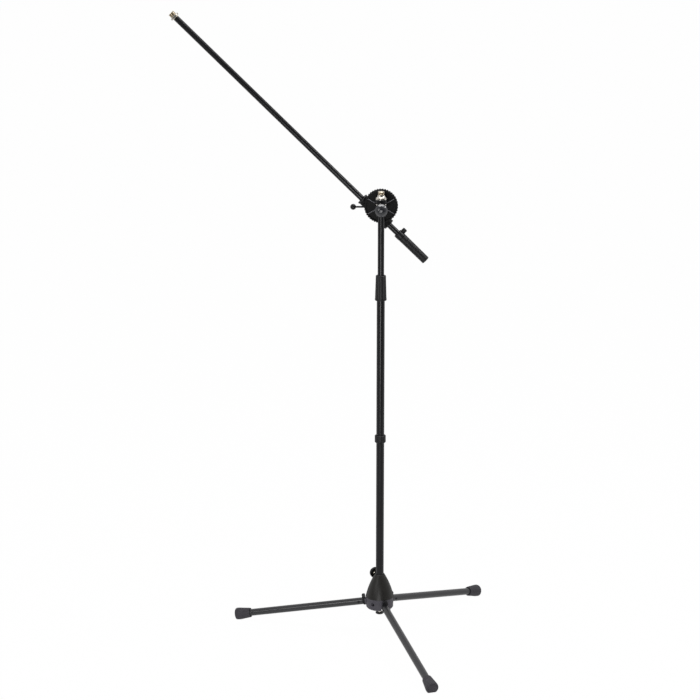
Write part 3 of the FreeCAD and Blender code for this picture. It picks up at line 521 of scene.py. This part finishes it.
@dataclass
class Tripod:
    """Hub, legs, pins and feet."""

    slope_deg: float = 12.4202
    foot_mouth_mm: float = 338.5
    foot_end_mm: float = 379.0
    foot_mouth_r_mm: float = 12.4
    foot_r_mm: float = 16.0
    foot_pad_r_mm: float = 12.0
    tube_r_mm: float = 9.0
    neck_ring_z_mm: float = 166.2
    neck_ring_r_mm: float = 10.95
    neck_ring_thick_mm: float = 0.75

    def build(self, stand: Stand) -> None:
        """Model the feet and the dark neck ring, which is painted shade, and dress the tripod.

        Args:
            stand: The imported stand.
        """
        for number in range(1, 4):
            self._foot(stand, number)
            stand.dress(LEG_COAT, f"leg_tube_{number}")
            stand.dress(CAST_PAINT, f"leg_knuckle_{number}")
            stand.dress(FITTING_PAINT, f"leg_stop_plate_{number}", f"leg_pin_{number}",
                        f"leg_rivet_{number}")
        stand.dress(CAST_PAINT, "hub_base")
        stand.dress(GRAINED_ABS, "hub_cone")
        stand.dress(CUP_NYLON, "hub_knob")
        stand.dress(NICKEL, "hub_knob_bolt")
        self._neck_ring(stand)

    def _leg_frame(self, stand: Stand, number: int) -> Matrix:
        """Give the frame whose Z runs out along a leg from its pivot."""
        joint = stand.joint(f"leg_fold_{number}")
        out = joint.axis.cross(Vector((0.0, 0.0, 1.0)))
        slope = math.radians(self.slope_deg)
        return joint.frame(out * math.cos(slope) - Vector((0.0, 0.0, math.sin(slope))))

    def _foot(self, stand: Stand, number: int) -> None:
        """Model one rubber foot with its end pad and flat sole."""
        mouth, end, wide = self.foot_mouth_mm, self.foot_end_mm, self.foot_r_mm
        inner = self.tube_r_mm + 0.05
        lip = self.foot_mouth_r_mm
        pad = self.foot_pad_r_mm
        profile = [(inner, mouth + 1.2), (inner + 0.6, mouth)]
        profile += rounded((lip - 1.6, mouth), (lip, mouth), (lip, mouth + 1.6))
        profile += rounded((wide - 0.6, end - 13), (wide, end - 8), (wide, end - 6))
        profile += rounded((wide, end - 5), (wide, end), (pad + 0.6, end), 7)
        profile += [(pad, end - 0.5), (pad - 0.5, end - 0.5), (pad - 0.9, end), (0.0, end)]
        foot = revolve(f"rubber_foot_{number}", profile, self._leg_frame(stand, number), 80, floor=True)
        stand.add(foot, f"leg_{number}", "foot_rubber", FOOT_RUBBER, (f"leg_foot_{number}",))

    def _neck_ring(self, stand: Stand) -> None:
        """Model a thin dark ring in the gap between cone and mast: a dark piece that stands for the shadow in
        that gap (painted shade).
        """
        centre, thick = self.neck_ring_r_mm, self.neck_ring_thick_mm
        profile = [(centre + thick * math.cos(a), self.neck_ring_z_mm + thick * math.sin(a))
                   for a in (2 * math.pi * i / 16 for i in range(17))]
        ring = revolve("neck_shadow_ring", profile, Matrix.Identity(4), 72)
        # The ring's dark acetal finish is painted shade for the gap between the mast and the cone's top
        stand.add(ring, "hub", "cone_plastic", BUSH_ACETAL)


@dataclass
class Mast:
    """Lower and upper tubes, the joint and the height clutch."""

    def build(self, stand: Stand) -> None:
        """Dress the mast's pieces.

        Args:
            stand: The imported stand.
        """
        stand.dress(POWDER_COAT, "lower_tube_bottom", "lower_tube_top", "upper_tube")
        stand.dress(FITTING_PAINT, "joint_collar", "stop_disc")
        stand.dress(NICKEL, "mast_end_plug")
        stand.dress(BUSH_ACETAL, "clutch_sleeve", "clutch_collet")
        stand.dress(GRIP_RUBBER, "clutch_grip")


@dataclass
class Head:
    """Casting on the mast, the spare stud and the tilt clutch."""

    ring_low_mm: float = 1126.0
    ring_high_mm: float = 1129.0
    ring_r_mm: float = 13.8
    core_r_mm: float = 7.5
    thread: Thread = field(default_factory=lambda: Thread(7.94, 0.94, 0.5, 1151.5, 1158.6))
    disc_ribs: int = 6
    rib_from_mm: float = 17.5
    rib_to_mm: float = 37.0
    rib_width_mm: float = 2.2
    rib_face_mm: float = 14.9
    rib_height_mm: float = 1.1

    def build(self, stand: Stand) -> None:
        """Model the spare stud and dress the head.

        Args:
            stand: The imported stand.
        """
        thread = self.thread
        edge = 0.5
        profile = [(0.0, self.ring_low_mm), (self.ring_r_mm - edge, self.ring_low_mm)]
        profile += rounded((self.ring_r_mm - edge, self.ring_low_mm), (self.ring_r_mm, self.ring_low_mm),
                           (self.ring_r_mm, self.ring_low_mm + edge), 3)
        profile += rounded((self.ring_r_mm, self.ring_high_mm - edge), (self.ring_r_mm, self.ring_high_mm),
                           (self.ring_r_mm - edge, self.ring_high_mm), 3)
        profile += [(0.0, self.ring_high_mm)]
        ring = revolve("spare_stud_ring", profile, Matrix.Identity(4), 96)
        stand.add(ring, "upper_mast", "nickel", NICKEL)
        profile = [(0.0, self.ring_high_mm), (self.core_r_mm, self.ring_high_mm),
                   (self.core_r_mm, thread.low_mm - 0.4)]
        profile += [(thread.crest_mm, z) for z in thread.heights()]
        profile += [(thread.crest_mm - 0.8, thread.high_mm + 0.8), (0.0, thread.high_mm + 0.8)]
        stud = revolve("spare_thread_stud", profile, Matrix.Identity(4), 64, thread.shape)
        stand.add(stud, "upper_mast", "zinc_brass", TAN_ZINC, ("top_stud",))
        self._rib_crests(stand)
        stand.dress(NICKEL, "top_lock_ring", "head_washer")
        stand.dress(FITTING_PAINT, "mast_head", "head_collar")
        stand.dress(DISC_PAINT, "front_disc")
        stand.dress(PAD_FIBRE, "friction_pad")
        stand.dress(SCREW_ZINC, "knob_washer", "clutch_bolt")
        stand.dress(KNOB_NYLON, "clutch_knob")

    def _rib_crests(self, stand: Stand) -> None:
        """Model the rounded crests of the front disc's ribs."""
        axis = stand.joint("boom_tilt")
        frame = Matrix.Translation((0.0, 0.0, axis.place.z)) @ Matrix.Rotation(math.radians(90), 4, "X")
        mesh = bmesh.new()
        half, steps = self.rib_width_mm / 2, 8
        for rib in range(self.disc_ribs):
            turn = Matrix.Rotation(2 * math.pi * (rib + 0.5) / self.disc_ribs, 4, "Z")
            rows = []
            for reach in (self.rib_from_mm, self.rib_to_mm):
                row = []
                for step in range(steps + 1):
                    angle = math.pi * step / steps
                    rise = self.rib_height_mm * math.sin(angle) - self.rib_face_mm
                    point = Vector((reach, half * math.cos(angle), rise)) * MM
                    row.append(mesh.verts.new(turn @ point))
                rows.append(row)
            inner, outer = rows
            for step in range(steps):
                mesh.faces.new((inner[step], outer[step], outer[step + 1], inner[step + 1]))
            mesh.faces.new(inner)
            mesh.faces.new(outer)
            mesh.faces.new((inner[0], inner[-1], outer[-1], outer[0]))
        bmesh.ops.recalc_face_normals(mesh, faces=mesh.faces[:])
        bmesh.ops.transform(mesh, matrix=frame, verts=mesh.verts[:])
        crests = finish_mesh("disc_rib_crests", mesh, 40.0)
        stand.add(crests, "upper_mast", "disc_casting", RIB_PAINT)


@dataclass
class Clamp:
    """Rear disc with the boom's sleeve, bushes and lever."""

    def build(self, stand: Stand) -> None:
        """Dress the clamp.

        Args:
            stand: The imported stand.
        """
        stand.dress(DISC_PAINT, "boom_clamp")
        stand.dress(BUSH_ACETAL, "boom_bush_upper", "boom_bush_lower")
        stand.dress(SCREW_ZINC, "clamp_screw")
        stand.dress(FITTING_PAINT, "clamp_lever")
        stand.dress(BALL_PHENOLIC, "lever_ball")


@dataclass
class Boom:
    """Boom tube, threaded tip, rear collar and handle."""

    tube_end_mm: float = 675.7
    plug_r_mm: float = 6.07
    relief_r_mm: float = 7.5
    thread: Thread = field(default_factory=lambda: Thread(7.94, 0.94, 0.5, 682.2, 691.5))
    handle_up_mm: float = -95.4
    handle_length_mm: float = 83.2
    handle_up_r_mm: float = 10.9
    handle_end_r_mm: float = 10.4
    handle_bore_mm: float = 7.25
    rib_pitch_mm: float = 2.6
    rib_depth_mm: float = 0.35

    def build(self, stand: Stand) -> None:
        """Model the tip and handle and dress the boom.

        Args:
            stand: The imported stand.
        """
        frame = stand.joint("boom_roll").frame()
        self._tip(stand, frame)
        self._handle(stand, frame)
        stand.dress(POWDER_COAT, "boom_tube")
        stand.dress(NICKEL, "tip_lock_ring")
        stand.dress(FITTING_PAINT, "rear_collar", "thumb_screw")
        stand.dress(SLUG_STEEL, "counterweight")

    def _tip(self, stand: Stand, frame: Matrix) -> None:
        """Model the threaded stud at the boom's tip."""
        thread = self.thread
        end = self.tube_end_mm
        profile = [(0.0, end - 25), (self.plug_r_mm, end - 25), (self.plug_r_mm, end),
                   (self.relief_r_mm, end), (self.relief_r_mm, thread.low_mm - 0.4)]
        profile += [(thread.crest_mm, z) for z in thread.heights()]
        profile += [(thread.crest_mm - 0.8, thread.high_mm + 0.8), (0.0, thread.high_mm + 0.8)]
        stud = revolve("boom_thread_stud", profile, frame, 64, thread.shape)
        stand.add(stud, "boom", "zinc_brass", TAN_ZINC, ("tip_stud",))

    def _handle(self, stand: Stand, frame: Matrix) -> None:
        """Model the rubber handle with its fine cross ribs, lip and closed end."""
        top = self.handle_up_mm
        low = top - self.handle_length_mm
        end_r, up_r = self.handle_end_r_mm, self.handle_up_r_mm

        def radius(height: float) -> float:
            """Give the handle's taper at a height."""
            return end_r + (up_r - end_r) * (height - low) / (top - low)

        profile = [(0.0, low + 0.5), (end_r - 3.4, low + 0.5), (end_r - 3.0, low)]
        profile += rounded((end_r - 1.4, low), (end_r, low), (end_r, low + 1.4))
        first, last = low + 5.0, top - 7.0
        count = int((last - first) / self.rib_pitch_mm)
        for rib in range(count):
            at = first + rib * self.rib_pitch_mm
            crest = radius(at)
            root = crest - self.rib_depth_mm
            profile += [(crest, at), (root, at + 0.5), (root, at + 0.9), (crest, at + 1.4)]
        profile += rounded((up_r, top - 1.4), (up_r, top), (up_r - 1.4, top))
        profile += [(self.handle_bore_mm, top), (self.handle_bore_mm, top - 6)]
        grip = revolve("boom_handle", profile, frame, 80)
        stand.add(grip, "boom", "grip_rubber", GRIP_RUBBER, ("handle_grip",))


@dataclass
class Studio:
    """Floor, world, lamps and camera."""

    camera_mm: tuple[float, float, float] = (-39.5, -5000.0, 2043.9)
    pitch: float = 0.2516
    yaw: float = -0.00737
    focal_px: float = 2068.25
    sensor_mm: float = 36.0
    ambient: float = 0.42
    seen_white: float = 0.985
    room_dim: float = 0.12
    world_span: tuple[float, float] = (-0.9, 0.1)
    floor_span_m: tuple[float, float] = (-2.4, -0.3)
    floor_side_m: float = 120.0
    paper: float = 0.9
    lamps_aim_m: tuple[float, float, float] = (0.0, 0.0, 0.8)

    def build(self) -> None:
        """Set up everything that isn't the stand."""
        bpy.context.scene.view_settings.view_transform = "Standard"
        self._camera()
        self._world()
        self._floor()
        self._lamp("overhead_softbox", (0.0, -0.2, 3.3), (2.8, 0.4), 40.0)
        self._lamp("side_softbox", (2.6, -0.3, 3.1), (0.5, 0.5), 30.0)
        self._lamp("key_softbox", (-2.6, -3.0, 2.0), (1.5, 1.5), 38.0)
        self._lamp("floor_softbox", (-0.3, -2.4, 0.35), (1.0, 0.5), 20.0)

    def _camera(self) -> None:
        """Place the camera where the photograph was taken from."""
        data = bpy.data.cameras.new("photo_camera")
        data.sensor_width = self.sensor_mm
        data.lens = self.focal_px * self.sensor_mm / PHOTO_SIDE
        data.clip_end = 200.0
        camera = bpy.data.objects.new("photo_camera", data)
        bpy.context.scene.collection.objects.link(camera)
        camera.location = Vector(self.camera_mm) * MM
        look = Vector((math.sin(self.yaw) * math.cos(self.pitch),
                       math.cos(self.yaw) * math.cos(self.pitch), -math.sin(self.pitch)))
        camera.rotation_euler = look.to_track_quat("-Z", "Y").to_euler()
        bpy.context.scene.camera = camera

    @staticmethod
    def _seen_directly(tree: bpy.types.NodeTree) -> bpy.types.NodeSocket:
        """Give 1 for camera, glossy and transmission rays, else 0."""
        path = add_node(tree, "ShaderNodeLightPath")
        mirrored = add_node(tree, "ShaderNodeMath", None,
                            {0: path.outputs["Is Glossy Ray"], 1: path.outputs["Is Transmission Ray"]},
                            operation="MAXIMUM")
        seen = add_node(tree, "ShaderNodeMath", None,
                        {0: path.outputs["Is Camera Ray"], 1: mirrored.outputs[0]}, operation="MAXIMUM")
        return seen.outputs[0]

    def _room_level(self, tree: bpy.types.NodeTree, place: bpy.types.NodeSocket, dim_at: float,
                    white_at: float) -> bpy.types.NodeSocket:
        """Give how bright the room shows: white to the camera, dim in reflections from the front.

        Args:
            tree: The material's or world's node tree.
            place: Coordinates whose Y runs from the camera's side to the far side.
            dim_at: Y where a reflection shows the dim end of the room.
            white_at: Y from which on it shows white.

        Returns:
            The socket that carries the level.
        """
        along = add_node(tree, "ShaderNodeSeparateXYZ", None, {"Vector": place}).outputs["Y"]
        ramp = add_node(tree, "ShaderNodeMapRange",
                        {"From Min": dim_at, "From Max": white_at, "To Min": self.room_dim}, {"Value": along})
        path = add_node(tree, "ShaderNodeLightPath")
        shown = add_node(tree, "ShaderNodeMath", None,
                         {0: path.outputs["Is Camera Ray"], 1: ramp.outputs["Result"]}, operation="MAXIMUM")
        return shown.outputs[0]

    def _world(self) -> None:
        """Make a surround that lights evenly, shows white to the camera and dims in front reflections."""
        world = bpy.data.worlds.new("studio_surround")
        world.use_nodes = True
        bpy.context.scene.world = world
        tree = world.node_tree
        background = tree.nodes["Background"]
        background.inputs["Color"].default_value = (1.0, 1.0, 1.0, 1.0)
        direction = add_node(tree, "ShaderNodeTexCoord").outputs["Generated"]
        level = add_node(tree, "ShaderNodeMapRange", {"To Min": self.ambient},
                         {"Value": self._seen_directly(tree),
                          "To Max": self._room_level(tree, direction, *self.world_span)})
        tree.links.new(level.outputs["Result"], background.inputs["Strength"])

    def _floor(self) -> None:
        """Lay a pale floor that shows white, dims in front reflections and keeps a faint shadow."""
        bpy.ops.mesh.primitive_plane_add(size=self.floor_side_m)
        floor = bpy.context.object
        floor.name = "studio_floor"
        material = bpy.data.materials.new("white_paper_sweep")
        material.use_nodes = True
        tree = material.node_tree
        tree.nodes.remove(tree.nodes["Principled BSDF"])
        share = add_node(tree, "ShaderNodeMath", {1: self.seen_white}, {0: self._seen_directly(tree)},
                         operation="MULTIPLY")
        paper = add_node(tree, "ShaderNodeBsdfDiffuse", {"Color": (self.paper, self.paper, self.paper, 1.0)})
        place = add_node(tree, "ShaderNodeTexCoord").outputs["Object"]
        glow = add_node(tree, "ShaderNodeEmission", {"Color": (1.0, 1.0, 1.0, 1.0)},
                        {"Strength": self._room_level(tree, place, *self.floor_span_m)})
        mix = add_node(tree, "ShaderNodeMixShader", None,
                       {0: share.outputs[0], 1: paper.outputs[0], 2: glow.outputs[0]})
        tree.links.new(mix.outputs[0], tree.nodes["Material Output"].inputs["Surface"])
        floor.data.materials.append(material)

    def _lamp(self, name: str, place: tuple[float, float, float], sides: tuple[float, float],
              power: float) -> None:
        """Hang one softbox that faces the stand.

        Args:
            name: The lamp's name.
            place: Its place in metres.
            sides: Its width and height in metres.
            power: Its power in watts.
        """
        data = bpy.data.lights.new(name, "AREA")
        data.shape = "RECTANGLE"
        data.size, data.size_y = sides
        data.energy = power
        lamp = bpy.data.objects.new(name, data)
        bpy.context.scene.collection.objects.link(lamp)
        lamp.location = place
        aim = Vector(self.lamps_aim_m) - Vector(place)
        lamp.rotation_euler = aim.to_track_quat("-Z", "Y").to_euler()


def main() -> None:
    """Build and dress the stand, then set up the studio."""
    logging.basicConfig(level=logging.INFO, format="%(name)s: %(message)s")
    stand = Stand()
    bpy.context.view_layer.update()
    for part in (Tripod(), Mast(), Head(), Clamp(), Boom()):
        part.build(stand)
        LOG.info("%s done", type(part).__name__)
    Studio().build()


if __name__ == "__main__":
    main()
